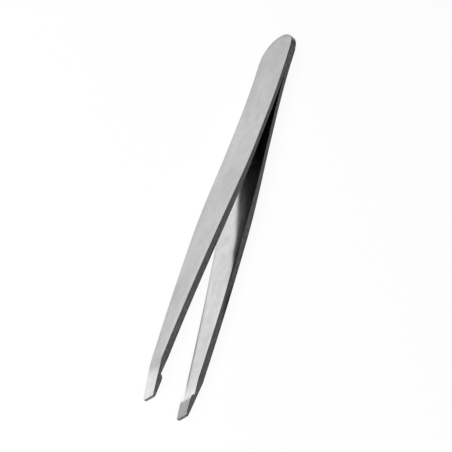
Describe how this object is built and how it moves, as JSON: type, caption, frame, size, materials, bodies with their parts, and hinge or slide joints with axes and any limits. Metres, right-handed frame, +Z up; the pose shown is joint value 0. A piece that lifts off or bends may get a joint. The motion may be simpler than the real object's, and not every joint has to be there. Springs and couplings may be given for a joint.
{
  "type": "slant tweezers",
  "caption": "Slant tweezers: thin sprung steel blades welded at the head, thicker grip arms, slanted ground jaws that close face to face.",
  "frame": {"origin": "middle of the footprint, on the plane that the lower side edges of the blades lie on", "axes": "+X along the length from the welded head to the tips, +Y from the front blade to the rear blade, +Z up across the width of the blades"},
  "size_m": [0.095, 0.0104, 0.0106],
  "materials": {
    "blade_steel": "satin ground stainless steel, fine grain",
    "weld_steel": "dull melted steel, hidden between the blades"
  },
  "bodies": {
    "head": {"front_blade_head": "blade_steel", "rear_blade_head": "blade_steel", "weld_nugget_1": "weld_steel", "weld_nugget_2": "weld_steel"},
    "front_arm": {"front_blade_arm": "blade_steel"},
    "rear_arm": {"rear_blade_arm": "blade_steel"}
  },
  "joints": [
    {"name": "front_arm_flex", "type": "hinge", "parent": "head", "child": "front_arm", "pos_m": [-0.0215, -0.00058, 0.0053], "axis": [0, 0, 1], "range_deg": [0, 3.16], "stiffness_Nm_per_rad": 3},
    {"name": "rear_arm_flex", "type": "hinge", "parent": "head", "child": "rear_arm", "pos_m": [-0.0215, 0.00058, 0.0053], "axis": [0, 0, -1], "range_deg": [0, 3.16], "stiffness_Nm_per_rad": 3}
  ],
  "couplings": [
    {"joint": "rear_arm_flex", "follows": "front_arm_flex", "ratio": 1}
  ]
}
